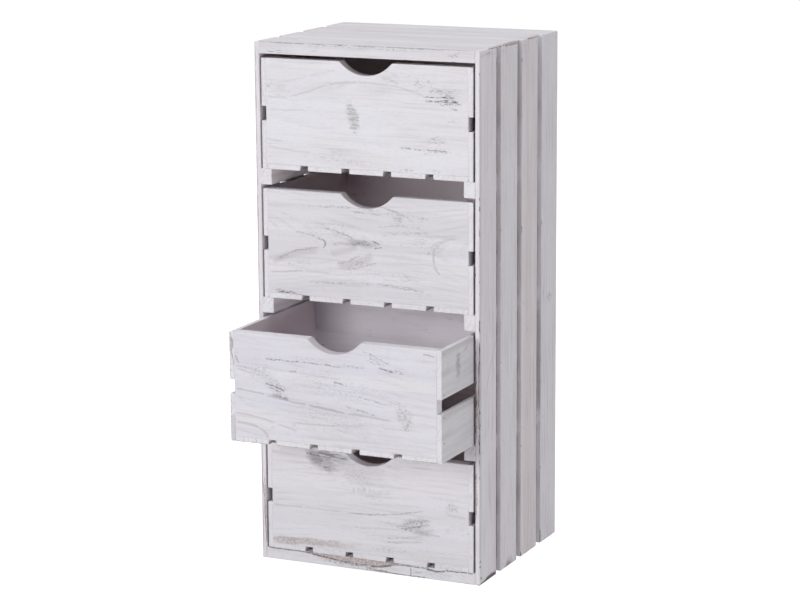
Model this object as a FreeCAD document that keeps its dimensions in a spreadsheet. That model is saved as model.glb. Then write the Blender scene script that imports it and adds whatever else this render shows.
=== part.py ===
import FreeCAD, Part
import os
import Sketcher

# Narrow chest of four open-topped drawers, nailed together like fruit crates from paulownia planks.
# Frame: millimetres, +X to the right of someone facing the drawers, +Y to the back, +Z up.
# The origin is the middle of the carcass's footprint, on the floor.

doc = FreeCAD.newDocument("drawer_chest")

# ---------------------------------------------------------------------------------------------
# Driving dimensions
# ---------------------------------------------------------------------------------------------

SIZES = (
    ("overall_width", 365, "outside, over both side walls"),
    ("overall_depth", 305, "outside, front to back"),
    ("overall_height", 800, "floor to the top face"),
    ("side_thickness", 7.5, "carcass side planks"),
    ("side_plank_width", 63, "carcass side planks; the gaps share what is left of the depth"),
    ("top_thickness", 18, "top board"),
    ("bottom_thickness", 18, "bottom board"),
    ("runner_width", 18, "runners, out from the side wall"),
    ("runner_height", 24, "runners, top to bottom"),
    ("back_thickness", 4, "back panel"),
    ("back_recess", 13, "back panel's outer face, in from the rear edges"),
    ("back_clearance", 0.5, "back panel, to the side walls and to the top and bottom boards"),
    ("drawer_side_clearance", 3, "each side of a drawer"),
    ("drawer_top_clearance", 6, "over a drawer"),
    ("drawer_rear_clearance", 2, "behind a closed drawer"),
    ("drawer_front_thickness", 18, "drawer front boards"),
    ("drawer_back_thickness", 15, "drawer back boards"),
    ("drawer_side_thickness", 7.5, "drawer side planks"),
    ("drawer_side_gap", 21.5, "between the two side planks of a drawer"),
    ("drawer_lower_side_height", 73, "lower side planks of the drawers"),
    ("drawer_bottom_thickness", 7.5, "drawer bottom planks"),
    ("drawer_bottom_plank_width", 56, "drawer bottom planks; the gaps share what is left"),
    ("drawer_bottom_planks", 5, "how many planks make a drawer bottom"),
    ("finger_width", 85, "finger cut-out, across its mouth"),
    ("finger_depth", 20, "finger cut-out, at its lowest"),
    ("finger_shoulder", 4, "radius where the cut-out meets the top edge"),
    ("edge_ease", 0.8, "sanded edge of every board and plank"),
    ("nail_radius", 1.15, "all nails, out to the corners of their eight sides"),
    ("nail_length", 22, "all nails"),
    ("nail_proud", 0.2, "nail heads, out of the face"),
    ("nail_sink", 0.5, "nail heads under the drawers, below the face"),
    ("carcass_nail_inset", 8, "carcass nails, in from a side plank's edge"),
    ("drawer_nail_inset", 6, "drawer nails, in from a side plank's edge"),
    ("drawer_low_nail_height", 29, "lowest nail of a drawer side, over the drawer's underside"),
    ("open_drawer_travel", 115, "how far the open drawer stands out"),
)

sheet = doc.addObject("Spreadsheet::Sheet", "sizes")
for row, (alias, number, meaning) in enumerate(SIZES, start=1):
    sheet.set(f"A{row}", alias)
    sheet.set(f"B{row}", str(number))
    sheet.set(f"C{row}", meaning)
    sheet.setAlias(f"B{row}", alias)
doc.recompute()

SIDE_PLANKS = 4     # in each side wall, numbered from the front
DRAWERS = 4         # numbered from the top
OPEN_DRAWER = 3     # the one that stands open at rest
NAIL_SIDES = 8      # a plain stand-in for round wire, with few faces

# ---------------------------------------------------------------------------------------------
# Sizes that follow from the driving ones, as expressions
# ---------------------------------------------------------------------------------------------

RUNNER_LEVELS = DRAWERS - 1
INNER_WIDTH = "(sizes.overall_width - 2 * sizes.side_thickness)"
BAY_HEIGHT = (
    "((sizes.overall_height - sizes.top_thickness - sizes.bottom_thickness"
    f" - {RUNNER_LEVELS} * sizes.runner_height) / {DRAWERS})"
)
RUNNER_LENGTH = "(sizes.overall_depth - sizes.back_recess - sizes.back_thickness)"
SIDE_PLANK_PITCH = f"((sizes.overall_depth - sizes.side_plank_width) / {SIDE_PLANKS - 1})"

CARCASS_LEFT = "(-sizes.overall_width / 2)"
CARCASS_FRONT = "(-sizes.overall_depth / 2)"
WALL_RIGHT = "(sizes.overall_width / 2 - sizes.side_thickness)"
WALL_LEFT = f"(-{WALL_RIGHT})"

DRAWER_WIDTH = f"({INNER_WIDTH} - 2 * sizes.drawer_side_clearance)"
DRAWER_DEPTH = f"({RUNNER_LENGTH} - sizes.drawer_rear_clearance)"
DRAWER_HEIGHT = f"({BAY_HEIGHT} - sizes.drawer_top_clearance)"
DRAWER_INNER_WIDTH = f"({DRAWER_WIDTH} - 2 * sizes.drawer_side_thickness)"
UPPER_SIDE_BOTTOM = "(sizes.drawer_lower_side_height + sizes.drawer_side_gap)"
UPPER_SIDE_HEIGHT = f"({DRAWER_HEIGHT} - {UPPER_SIDE_BOTTOM})"
FRONT_HEIGHT = f"({DRAWER_HEIGHT} - sizes.drawer_bottom_thickness)"
FINGER_RADIUS = "((sizes.finger_width ^ 2 / 4 + sizes.finger_depth ^ 2) / (2 * sizes.finger_depth))"


def bay_floor(number):
    """Height of what the drawer with this number slides on, the first being the top drawer."""
    levels_below = DRAWERS - number
    return f"(sizes.bottom_thickness + {levels_below} * ({BAY_HEIGHT} + sizes.runner_height))"


# ---------------------------------------------------------------------------------------------
# How pieces are made
# ---------------------------------------------------------------------------------------------

parts = []


def place(piece, x, y, z):
    """Bind the place of a piece's own origin to three expressions."""
    for axis, expression in zip("xyz", (x, y, z)):
        piece.setExpression(f"Placement.Base.{axis}", expression)


def new_body(label):
    """A body for one sub-part, which several separate solids may share."""
    body = doc.addObject("PartDesign::Body", label)
    body.Label = label
    body.AllowCompound = True
    parts.append(body)
    return body


def origin_plane(body, role):
    """One of the body's own origin planes, by its role."""
    return next(feature for feature in body.Origin.OriginFeatures if feature.Role == role)


def new_sketch(body, name, role):
    """An empty sketch on one of the body's origin planes."""
    sketch = body.newObject("Sketcher::SketchObject", name)
    sketch.AttachmentSupport = [(origin_plane(body, role), "")]
    sketch.MapMode = "FlatFace"
    return sketch


def constrain(sketch, constraint, expression):
    """Add a dimension to a sketch and bind it to an expression."""
    index = sketch.addConstraint(constraint)
    sketch.setExpression(f"Constraints[{index}]", expression)


def rectangle_sketch(body, name, role, width, height):
    """A rectangle with one corner on the origin and its two sides bound to expressions."""
    sketch = new_sketch(body, name, role)
    start_size = 50
    corners = [
        FreeCAD.Vector(x, y, 0)
        for x, y in ((0, 0), (start_size, 0), (start_size, start_size), (0, start_size))
    ]
    for start, end in zip(corners, corners[1:] + corners[:1]):
        sketch.addGeometry(Part.LineSegment(start, end), False)
    for line in range(4):
        sketch.addConstraint(Sketcher.Constraint("Coincident", line, 2, (line + 1) % 4, 1))
        direction = "Horizontal" if line % 2 == 0 else "Vertical"
        sketch.addConstraint(Sketcher.Constraint(direction, line))
    sketch.addConstraint(Sketcher.Constraint("Coincident", 0, 1, -1, 1))
    constrain(sketch, Sketcher.Constraint("DistanceX", 0, 1, 0, 2, start_size), width)
    constrain(sketch, Sketcher.Constraint("DistanceY", 1, 1, 1, 2, start_size), height)
    return sketch


def pad(body, sketch, length, reverse=False):
    """Pad a sketch by an expression's length."""
    feature = body.newObject("PartDesign::Pad", f"{body.Name}_pad")
    feature.Profile = sketch
    feature.Reversed = reverse
    feature.setExpression("Length", length)
    sketch.Visibility = False
    return feature


def ease_all_edges(body, feature):
    """Sand every edge of a board to the same small chamfer."""
    chamfer = body.newObject("PartDesign::Chamfer", f"{body.Name}_eased")
    chamfer.Base = (feature, [""])
    chamfer.UseAllEdges = True
    chamfer.setExpression("Size", "sizes.edge_ease")
    body.Tip = chamfer
    return chamfer


def make_board(label, width, depth, height, x, y, z):
    """A plain board: a rectangle in plan, padded up, with its edges eased."""
    body = new_body(label)
    plan = rectangle_sketch(body, f"{label}_plan", "XY_Plane", width, depth)
    ease_all_edges(body, pad(body, plan, height))
    place(body, x, y, z)
    return body


def make_nail(name, direction, x, y, z):
    """A headless nail: a pin from its driven end, pointing the way it was driven."""
    nail = doc.addObject("Part::Prism", name)
    nail.Polygon = NAIL_SIDES
    nail.setExpression("Circumradius", "sizes.nail_radius")
    nail.setExpression("Height", "sizes.nail_length")
    turn = FreeCAD.Rotation(FreeCAD.Vector(0, 0, 1), FreeCAD.Vector(*direction))
    nail.Placement = FreeCAD.Placement(FreeCAD.Vector(0, 0, 0), turn)
    place(nail, x, y, z)
    return nail


def group_nails(label, nails):
    """One sub-part that holds a set of like nails as separate solids."""
    group = doc.addObject("Part::Compound", label)
    group.Label = label
    group.Links = nails
    parts.append(group)
    return group


# ---------------------------------------------------------------------------------------------
# Carcass
# ---------------------------------------------------------------------------------------------

def side_plank_front(number):
    """Where the front edge of a side plank lies, the first being flush with the carcass's front."""
    return f"({CARCASS_FRONT} + {number - 1} * {SIDE_PLANK_PITCH})"


def make_side_walls():
    """Upright planks with gaps between them, the full height of the chest."""
    for side, left_face in (("left", CARCASS_LEFT), ("right", WALL_RIGHT)):
        for number in range(1, SIDE_PLANKS + 1):
            make_board(
                f"{side}_side_plank_{number}",
                "sizes.side_thickness", "sizes.side_plank_width", "sizes.overall_height",
                left_face, side_plank_front(number), "0",
            )


def make_top_and_bottom():
    """Two boards between the side walls, which the side planks are nailed to."""
    make_board(
        "top_board", INNER_WIDTH, "sizes.overall_depth", "sizes.top_thickness",
        WALL_LEFT, CARCASS_FRONT, "sizes.overall_height - sizes.top_thickness",
    )
    make_board(
        "bottom_board", INNER_WIDTH, "sizes.overall_depth", "sizes.bottom_thickness",
        WALL_LEFT, CARCASS_FRONT, "0",
    )


def make_runners():
    """A pair of battens under each drawer but the lowest, which slides on the bottom board."""
    for number in range(1, RUNNER_LEVELS + 1):
        underside = f"({bay_floor(number)} - sizes.runner_height)"
        for side, left_face in (("left", WALL_LEFT), ("right", f"({WALL_RIGHT} - sizes.runner_width)")):
            make_board(
                f"{side}_runner_{number}",
                "sizes.runner_width", RUNNER_LENGTH, "sizes.runner_height",
                left_face, CARCASS_FRONT, underside,
            )


def make_back_panel():
    """A thin panel let in between the side walls, against the rear ends of the runners."""
    clear = "sizes.back_clearance"
    inner_height = "(sizes.overall_height - sizes.top_thickness - sizes.bottom_thickness)"
    body = new_body("back_panel")
    plan = rectangle_sketch(
        body, "back_panel_plan", "XY_Plane", f"{INNER_WIDTH} - 2 * {clear}", "sizes.back_thickness"
    )
    body.Tip = pad(body, plan, f"{inner_height} - 2 * {clear}")
    place(
        body, f"{WALL_LEFT} + {clear}", f"{CARCASS_FRONT} + {RUNNER_LENGTH}",
        f"sizes.bottom_thickness + {clear}",
    )


def make_carcass_nails():
    """Nails through the side planks into boards and runners, and through the back into the runners."""
    nails = []
    head_right = "(sizes.overall_width / 2 + sizes.nail_proud)"
    board_heights = ("sizes.bottom_thickness / 2", "sizes.overall_height - sizes.top_thickness / 2")
    runner_heights = [
        f"({bay_floor(number)} - sizes.runner_height / 2)" for number in range(1, RUNNER_LEVELS + 1)
    ]
    for side, direction, head in (("left", (1, 0, 0), f"(-{head_right})"), ("right", (-1, 0, 0), head_right)):
        for number in range(1, SIDE_PLANKS + 1):
            near = f"({side_plank_front(number)} + sizes.carcass_nail_inset)"
            far = f"({side_plank_front(number)} + sizes.side_plank_width - sizes.carcass_nail_inset)"
            spots = [(y, z) for z in board_heights for y in (near, far)]
            spots += [(near, z) for z in runner_heights]
            for count, (y, z) in enumerate(spots, start=1):
                name = f"{side}_nail_{number}_{count}"
                nails.append(make_nail(name, direction, head, y, z))
    back_head = f"({CARCASS_FRONT} + {RUNNER_LENGTH} + sizes.back_thickness + sizes.nail_proud)"
    runner_middle = f"({WALL_RIGHT} - sizes.runner_width / 2)"
    for number, z in enumerate(runner_heights, start=1):
        for side, x in (("left", f"(-{runner_middle})"), ("right", runner_middle)):
            name = f"back_{side}_nail_{number}"
            nails.append(make_nail(name, (0, -1, 0), x, back_head, z))
    group_nails("carcass_nails", nails)


# ---------------------------------------------------------------------------------------------
# Drawers
# ---------------------------------------------------------------------------------------------

def make_drawer_front(label, x, y, z):
    """A front board with an arched finger cut-out in its top edge and soft shoulders beside it."""
    body = new_body(label)
    outline = rectangle_sketch(body, f"{label}_outline", "XZ_Plane", DRAWER_INNER_WIDTH, FRONT_HEIGHT)
    blank = pad(body, outline, "sizes.drawer_front_thickness", reverse=True)
    arch = new_sketch(body, f"{label}_arch", "XZ_Plane")
    start_radius = 50
    arch.addGeometry(Part.Circle(FreeCAD.Vector(150, 200, 0), FreeCAD.Vector(0, 0, 1), start_radius), False)
    constrain(arch, Sketcher.Constraint("Radius", 0, start_radius), FINGER_RADIUS)
    constrain(arch, Sketcher.Constraint("DistanceX", -1, 1, 0, 3, 150), f"{DRAWER_INNER_WIDTH} / 2")
    constrain(
        arch, Sketcher.Constraint("DistanceY", -1, 1, 0, 3, 200),
        f"{FRONT_HEIGHT} + {FINGER_RADIUS} - sizes.finger_depth",
    )
    cut_out = body.newObject("PartDesign::Pocket", f"{label}_cut_out")
    cut_out.Profile = arch
    cut_out.Type = "ThroughAll"
    cut_out.Midplane = True
    arch.Visibility = False
    doc.recompute()
    if cut_out.Shape.Volume > blank.Shape.Volume - 1:
        raise RuntimeError(f"{label}: the finger cut-out removed nothing")

    shoulders = body.newObject("PartDesign::Fillet", f"{label}_shoulders")
    shoulders.Base = (cut_out, arch_shoulder_edges(cut_out.Shape))
    shoulders.setExpression("Radius", "sizes.finger_shoulder")
    doc.recompute()

    eased = body.newObject("PartDesign::Chamfer", f"{label}_eased")
    eased.Base = (shoulders, front_and_back_edges(shoulders.Shape))
    eased.setExpression("Size", "sizes.edge_ease")
    body.Tip = eased
    place(body, x, y, z)


def arch_shoulder_edges(shape):
    """The two straight edges where the arched wall meets the top edge."""
    wall = next(face for face in shape.Faces if isinstance(face.Surface, Part.Cylinder))
    straight = [edge for edge in wall.Edges if isinstance(edge.Curve, Part.Line)]
    return edge_names(shape, straight)


def front_and_back_edges(shape):
    """All edges round the board's front face and round its back face."""
    across = FreeCAD.Vector(0, 1, 0)
    faces = [
        face for face in shape.Faces
        if isinstance(face.Surface, Part.Plane) and abs(face.Surface.Axis.dot(across)) > 0.999
    ]
    return edge_names(shape, [edge for face in faces for edge in face.Edges])


def edge_names(shape, wanted):
    """Names, such as Edge3, of the wanted edges of a shape."""
    return [
        f"Edge{index}" for index, edge in enumerate(shape.Edges, start=1)
        if any(edge.isSame(other) for other in wanted)
    ]


def make_drawer_bottom(label, x, y, z):
    """Planks running front to back, evenly spaced between the side planks."""
    body = new_body(label)
    plan = rectangle_sketch(
        body, f"{label}_plan", "XY_Plane", "sizes.drawer_bottom_plank_width", DRAWER_DEPTH
    )
    plank = pad(body, plan, "sizes.drawer_bottom_thickness")
    row = body.newObject("PartDesign::LinearPattern", f"{label}_row")
    row.Originals = [plank]
    row.Direction = (plan, ["H_Axis"])
    row.setExpression("Length", f"{DRAWER_INNER_WIDTH} - sizes.drawer_bottom_plank_width")
    row.setExpression("Occurrences", "sizes.drawer_bottom_planks")
    body.Tip = row
    doc.recompute()
    ease_all_edges(body, row)
    place(body, x, y, z)


def make_drawer_sides(prefix, front, floor):
    """Two planks on each side with a gap between them, over the ends of the front and back boards."""
    right_face = f"({DRAWER_WIDTH} / 2 - sizes.drawer_side_thickness)"
    levels = (
        ("lower", "sizes.drawer_lower_side_height", floor),
        ("upper", UPPER_SIDE_HEIGHT, f"({floor} + {UPPER_SIDE_BOTTOM})"),
    )
    for side, left_face in (("left", f"(-{DRAWER_WIDTH} / 2)"), ("right", right_face)):
        for level, height, underside in levels:
            make_board(
                f"{prefix}_{side}_{level}_side",
                "sizes.drawer_side_thickness", DRAWER_DEPTH, height,
                left_face, front, underside,
            )


def make_drawer_nails(prefix, front, floor):
    """Nails through the sides and up through the bottom, into the front and back boards."""
    nails = []
    inset = "sizes.drawer_nail_inset"
    rows = (
        f"({front} + sizes.drawer_front_thickness / 2)",
        f"({front} + {DRAWER_DEPTH} - sizes.drawer_back_thickness / 2)",
    )
    heights = (
        f"({floor} + sizes.drawer_low_nail_height)",
        f"({floor} + sizes.drawer_lower_side_height - {inset})",
        f"({floor} + {UPPER_SIDE_BOTTOM} + {inset})",
        f"({floor} + {DRAWER_HEIGHT} - {inset})",
    )
    head_right = f"({DRAWER_WIDTH} / 2 + sizes.nail_proud)"
    for side, direction, head in (("left", (1, 0, 0), f"(-{head_right})"), ("right", (-1, 0, 0), head_right)):
        for count, (y, z) in enumerate([(y, z) for y in rows for z in heights], start=1):
            nails.append(make_nail(f"{prefix}_{side}_nail_{count}", direction, head, y, z))
    plank_count = int(sheet.get("drawer_bottom_planks"))
    plank_pitch = (
        f"(({DRAWER_INNER_WIDTH} - sizes.drawer_bottom_plank_width)"
        " / (sizes.drawer_bottom_planks - 1))"
    )
    first_plank = f"((sizes.drawer_bottom_plank_width - {DRAWER_INNER_WIDTH}) / 2)"
    for plank in range(plank_count):
        x = f"({first_plank} + {plank} * {plank_pitch})"
        for end, y in zip(("front", "back"), rows):
            name = f"{prefix}_bottom_{end}_nail_{plank + 1}"
            nails.append(make_nail(name, (0, 0, 1), x, y, f"{floor} + sizes.nail_sink"))
    group_nails(f"{prefix}_nails", nails)


def make_drawer(number):
    """One nailed drawer: front, back, four side planks, planked bottom and nails."""
    prefix = f"drawer_{number}"
    floor = bay_floor(number)
    front = CARCASS_FRONT
    if number == OPEN_DRAWER:
        front = f"({CARCASS_FRONT} - sizes.open_drawer_travel)"
    inner_left = f"(-{DRAWER_INNER_WIDTH} / 2)"
    over_bottom = f"({floor} + sizes.drawer_bottom_thickness)"
    make_drawer_front(f"{prefix}_front", inner_left, front, over_bottom)
    make_board(
        f"{prefix}_back", DRAWER_INNER_WIDTH, "sizes.drawer_back_thickness", FRONT_HEIGHT,
        inner_left, f"{front} + {DRAWER_DEPTH} - sizes.drawer_back_thickness", over_bottom,
    )
    make_drawer_sides(prefix, front, floor)
    make_drawer_bottom(f"{prefix}_bottom_planks", inner_left, front, floor)
    make_drawer_nails(prefix, front, floor)


# ---------------------------------------------------------------------------------------------
# The chest
# ---------------------------------------------------------------------------------------------

make_side_walls()
make_top_and_bottom()
make_runners()
make_back_panel()
make_carcass_nails()
for drawer in range(1, DRAWERS + 1):
    make_drawer(drawer)
doc.recompute()

failed = [item.Label for item in doc.Objects if {"Invalid", "Error"} & set(item.State)]
if failed:
    raise RuntimeError(f"not built: {failed}")
for piece in parts:
    if piece.Shape.isNull() or not piece.Shape.isValid():
        raise RuntimeError(f"{piece.Label} has no valid shape")

os.makedirs("parts", exist_ok=True)
for piece in parts:
    piece.Shape.exportStep(os.path.join("parts", f"{piece.Label}.step"))
    box = piece.Shape.BoundBox
    print(
        f"{piece.Label:32s} {len(piece.Shape.Solids):3d} solids"
        f"  x {box.XMin:8.2f} {box.XMax:8.2f}  y {box.YMin:8.2f} {box.YMax:8.2f}"
        f"  z {box.ZMin:8.2f} {box.ZMax:8.2f}"
    )
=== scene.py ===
import math
from collections import namedtuple

import bpy
from mathutils import Matrix, Vector


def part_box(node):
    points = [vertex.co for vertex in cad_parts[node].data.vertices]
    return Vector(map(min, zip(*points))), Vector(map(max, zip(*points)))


# Looks of a narrow four-drawer chest: whitewashed paulownia planks, rubbed through in places.
# Metres, +X to the right of someone facing the drawers, +Y to the back, +Z up.

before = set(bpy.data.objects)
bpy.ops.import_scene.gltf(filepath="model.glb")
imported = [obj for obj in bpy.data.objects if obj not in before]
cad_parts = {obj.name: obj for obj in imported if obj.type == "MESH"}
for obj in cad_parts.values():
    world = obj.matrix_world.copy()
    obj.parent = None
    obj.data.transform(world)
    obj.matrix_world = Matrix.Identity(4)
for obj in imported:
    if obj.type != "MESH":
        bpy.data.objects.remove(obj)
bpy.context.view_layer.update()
MM = 0.001


# ---- Camera, light and floor ----

CAMERA_PLACE = (1.6871, -3.6805, 1.2297)
CAMERA_TURN = math.radians(24.838)      # to the left of straight on
CAMERA_DIP = math.radians(11.686)
CAMERA_LEAN = math.radians(-0.363)
CAMERA_LENS = 120.64                    # mm, on a 36 mm sensor

LAMP_TARGET = Vector((0, 0, 0.4))
LAMPS = (
    # name, degrees to the right of the front, degrees up, metres off, width, height, watts
    ("front_left_softbox", -15, 13, 4.6, 1.8, 1.8, 115),
    ("front_right_strip", 50, -2.4, 4.6, 1.8, 0.4, 46),
    ("right_strip", 82, -2.4, 4.6, 2.0, 0.4, 38.5),
    ("top_softbox", 25, 80, 3.2, 2.0, 2.0, 48),
    ("back_left_softbox", -125, 20, 4.6, 2.4, 2.4, 60),
    ("back_right_softbox", 165, 25, 4.6, 2.4, 2.4, 50),
)
WORLD_LIGHT = 0.06

FLOOR_SIZE = 60
FLOOR_BOUNCE = (0.45, 0.45, 0.45, 1)    # what the floor sends back on the chest
FLOOR_SHADE = (0.35, 0.35, 0.35, 1)     # how much of the chest's shadow the floor shows
FLOOR_WHITE_NEAR = 0.93
FLOOR_WHITE_FAR = 1.0
FLOOR_NEAR = 0.8
FLOOR_FAR = 3.0


def make_camera():
    data = bpy.data.cameras.new("camera")
    data.sensor_width = 36
    data.lens = CAMERA_LENS
    camera = bpy.data.objects.new("camera", data)
    camera.matrix_world = (
        Matrix.Translation(CAMERA_PLACE)
        @ Matrix.Rotation(CAMERA_TURN, 4, "Z")
        @ Matrix.Rotation(math.pi / 2 - CAMERA_DIP, 4, "X")
        @ Matrix.Rotation(CAMERA_LEAN, 4, "Z")
    )
    bpy.context.scene.collection.objects.link(camera)
    bpy.context.scene.camera = camera


def make_lamps():
    for name, right, up, off, width, height, power in LAMPS:
        data = bpy.data.lights.new(name, "AREA")
        data.shape = "RECTANGLE"
        data.size = width
        data.size_y = height
        data.energy = power
        lamp = bpy.data.objects.new(name, data)
        right, up = math.radians(right), math.radians(up)
        ray = Vector((math.sin(right) * math.cos(up), -math.cos(right) * math.cos(up), math.sin(up)))
        lamp.location = LAMP_TARGET + ray * off
        lamp.rotation_euler = ray.to_track_quat("Z", "Y").to_euler()
        bpy.context.scene.collection.objects.link(lamp)


# ---- Steps of a node tree ----

NOISE_MIDDLE = 0.5
SEED_SKEW = 0.37  # a seed's shift across the board, against its shift along it


def feed(socket, value):
    """Link a socket to another node's output, or set it to a plain value."""
    if isinstance(value, bpy.types.NodeSocket):
        socket.id_data.links.new(value, socket)
    else:
        socket.default_value = value


def step(tree, kind, sockets, output=0, **settings):
    """Add a node, set it up, feed its sockets and return one of its outputs."""
    node = tree.nodes.new(kind)
    for name, value in settings.items():
        setattr(node, name, value)
    for name, value in sockets.items():
        feed(node.inputs[name], value)
    return node.outputs[output]


def maths(tree, operation, *values):
    return step(tree, "ShaderNodeMath", dict(enumerate(values)), operation=operation)


def chain(tree, operation, first, *others):
    for other in others:
        first = maths(tree, operation, first, other)
    return first


def plus(tree, *values):
    return chain(tree, "ADD", *values)


def minus(tree, *values):
    return chain(tree, "SUBTRACT", *values)


def times(tree, *values):
    return chain(tree, "MULTIPLY", *values)


def strongest(tree, *values):
    return chain(tree, "MAXIMUM", *values)


def vectors(tree, operation, *values):
    output = "Value" if operation in ("DOT_PRODUCT", "LENGTH") else "Vector"
    return step(tree, "ShaderNodeVectorMath", dict(enumerate(values)), output, operation=operation)


def join(tree, x, y, z):
    return step(tree, "ShaderNodeCombineXYZ", {"X": x, "Y": y, "Z": z})


def split(tree, vector):
    node = tree.nodes.new("ShaderNodeSeparateXYZ")
    feed(node.inputs[0], vector)
    return node.outputs


def turned(tree, vector, angle):
    return step(
        tree, "ShaderNodeVectorRotate", {"Vector": vector, "Angle": angle}, rotation_type="Z_AXIS")


def rise(tree, value, low, high):
    """0 where the value is at low, easing to 1 at high. With low above high it falls instead."""
    sockets = {"Value": value, "From Min": low, "From Max": high}
    return step(tree, "ShaderNodeMapRange", sockets, interpolation_type="SMOOTHSTEP", clamp=False)


def spread(tree, value, low, high):
    """A value of 0 to 1 carried over to low to high."""
    return step(tree, "ShaderNodeMapRange", {"Value": value, "To Min": low, "To Max": high}, clamp=False)


def noise(tree, vector, scale, detail=2.0):
    return step(tree, "ShaderNodeTexNoise", {"Vector": vector, "Scale": scale, "Detail": detail}, "Fac")


def streaks(tree, place, seed, length, width, detail=2.0):
    """Noise drawn out along the grain: each streak about this long and this wide, in metres."""
    moved = vectors(tree, "ADD", place, join(tree, seed, times(tree, seed, SEED_SKEW), seed))
    drawn = vectors(tree, "MULTIPLY", moved, (1 / length, 1 / width, 1 / width))
    return noise(tree, drawn, 1.0, detail)


def blend(tree, amount, under, over):
    node = tree.nodes.new("ShaderNodeMix")
    node.data_type = "RGBA"
    feed(node.inputs[0], amount)
    feed(node.inputs[6], under)
    feed(node.inputs[7], over)
    return node.outputs[2]


def paint(red, green, blue):
    """A paint card's colour, 0 to 255, in the renderer's own scale."""
    def linear(value):
        value /= 255
        return value / 12.92 if value <= 0.04045 else ((value + 0.055) / 1.055) ** 2.4
    return (linear(red), linear(green), linear(blue), 1)


def new_group(name, inputs, outputs):
    """A node group: its tree, the outputs of its way in and the inputs of its way out."""
    tree = bpy.data.node_groups.new(name, "ShaderNodeTree")
    for in_out, sockets in (("INPUT", inputs), ("OUTPUT", outputs)):
        for kind, labels in sockets.items():
            for label in labels.split(", "):
                tree.interface.new_socket(label, in_out=in_out, socket_type=f"NodeSocket{kind}")
    return tree, tree.nodes.new("NodeGroupInput").outputs, tree.nodes.new("NodeGroupOutput").inputs


def use(tree, group, sockets):
    """Place a node group in a tree and feed its sockets."""
    node = tree.nodes.new("ShaderNodeGroup")
    node.node_tree = group
    for name, value in sockets.items():
        feed(node.inputs[name], value)
    return node.outputs


def new_material(name):
    material = bpy.data.materials.new(name)
    material.use_nodes = True
    material.node_tree.nodes.clear()
    return material, material.node_tree


def show_surface(tree, surface, kind="ShaderNodeOutputMaterial"):
    feed(tree.nodes.new(kind).inputs["Surface"], surface)


# ---- World and floor ----

def seen_directly(tree):
    """1 for rays from the eye, a mirror or glass, 0 for light that falls on the chest."""
    path = tree.nodes.new("ShaderNodeLightPath").outputs
    return strongest(tree, path["Is Camera Ray"], path["Is Glossy Ray"], path["Is Transmission Ray"])


def light_the_world():
    world = bpy.data.worlds.new("studio")
    world.use_nodes = True
    tree = world.node_tree
    tree.nodes.clear()
    strength = spread(tree, seen_directly(tree), WORLD_LIGHT, 1.0)
    light = step(tree, "ShaderNodeBackground", {"Color": (1, 1, 1, 1), "Strength": strength})
    show_surface(tree, light, "ShaderNodeOutputWorld")
    bpy.context.scene.world = world


def floor_material():
    material, tree = new_material("studio_floor")
    at = step(tree, "ShaderNodeTexCoord", {}, "Object")
    far_off = rise(tree, vectors(tree, "LENGTH", at), FLOOR_NEAR, FLOOR_FAR)
    strength = spread(tree, far_off, FLOOR_WHITE_NEAR, FLOOR_WHITE_FAR)
    white = step(tree, "ShaderNodeEmission", {"Color": (1, 1, 1, 1), "Strength": strength})
    shade = step(tree, "ShaderNodeBsdfDiffuse", {"Color": FLOOR_SHADE})
    bounce = step(tree, "ShaderNodeBsdfDiffuse", {"Color": FLOOR_BOUNCE})
    shown = step(tree, "ShaderNodeAddShader", {0: white, 1: shade})
    show_surface(tree, step(tree, "ShaderNodeMixShader", {0: seen_directly(tree), 1: bounce, 2: shown}))
    return material


def make_floor():
    half = FLOOR_SIZE / 2
    mesh = bpy.data.meshes.new("floor")
    corners = [(-half, -half, 0), (half, -half, 0), (half, half, 0), (-half, half, 0)]
    mesh.from_pydata(corners, [], [(0, 1, 2, 3)])
    mesh.materials.append(floor_material())
    floor = bpy.data.objects.new("floor", mesh)
    bpy.context.scene.collection.objects.link(floor)


# ---- Effects that the boards share ----

PAINT_COOL = paint(230, 229, 235)
PAINT_WARM = paint(229, 226, 230)
BRUSHED_THIN = paint(200, 198, 206)
GRAIN_TONE = paint(158, 149, 154)
RUBBED_TONE = paint(86, 81, 86)
# Bare wood's brown on the chest's inner faces, deepened as painted shade of the interior.
CARCASS_INSIDE_WOOD_AND_SHADE = paint(178, 150, 142)
# Painted shade in the gap beside the drawers, on the right front plank's inner face; the left one's
# FRONT_GAP_LIT stays near the paint's white.
FRONT_GAP_SHADE = paint(132, 118, 122)
FRONT_GAP_LIT = paint(232, 226, 230)
DRAWER_BACK_INSIDE = paint(240, 234, 242)
DRAWER_SIDE_INSIDE = paint(250, 238, 240)
# Painted shade on the inner backs of the closed drawers.
CLOSED_DRAWER_SHADE = paint(198, 178, 181)
# Painted shade low on the drawers' inner backs: darker in the open drawer, lighter in a closed one.
DRAWER_LOW_SHADE_DARK = paint(118, 94, 90)
DRAWER_LOW_SHADE_LIGHT = paint(184, 164, 168)
DRAWER_WARM_INSIDE = paint(247, 234, 240)
DRAWER_COOL_INSIDE = paint(236, 229, 237)
# Painted shade for edges deep in a gap and for the rim of a finger hole.
GAP_SHADE_TONE = paint(148, 135, 135)
BARE_WOOD = paint(206, 194, 194)
BARE_WOOD_DARK = paint(150, 138, 138)
EDGE_TONE = paint(90, 80, 78)

# Strengths of the coat's own effects.
THIN_STROKES = 0.6
CHALKY_STROKES = 0.22
FIBRE_LINES = 0.30
DRAWN_LINES = 0.9
WOOD_SPECKS = 0.7

PAINT_ROUGHNESS = 0.58
WOOD_ROUGHNESS = 0.78
FIBRE_ROUGHNESS = 0.12
RING_RELIEF = 0.15  # against the fibres' own relief
PAINT_RELIEF = -0.5  # hollow where the wood is soft or the paint is gone

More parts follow.
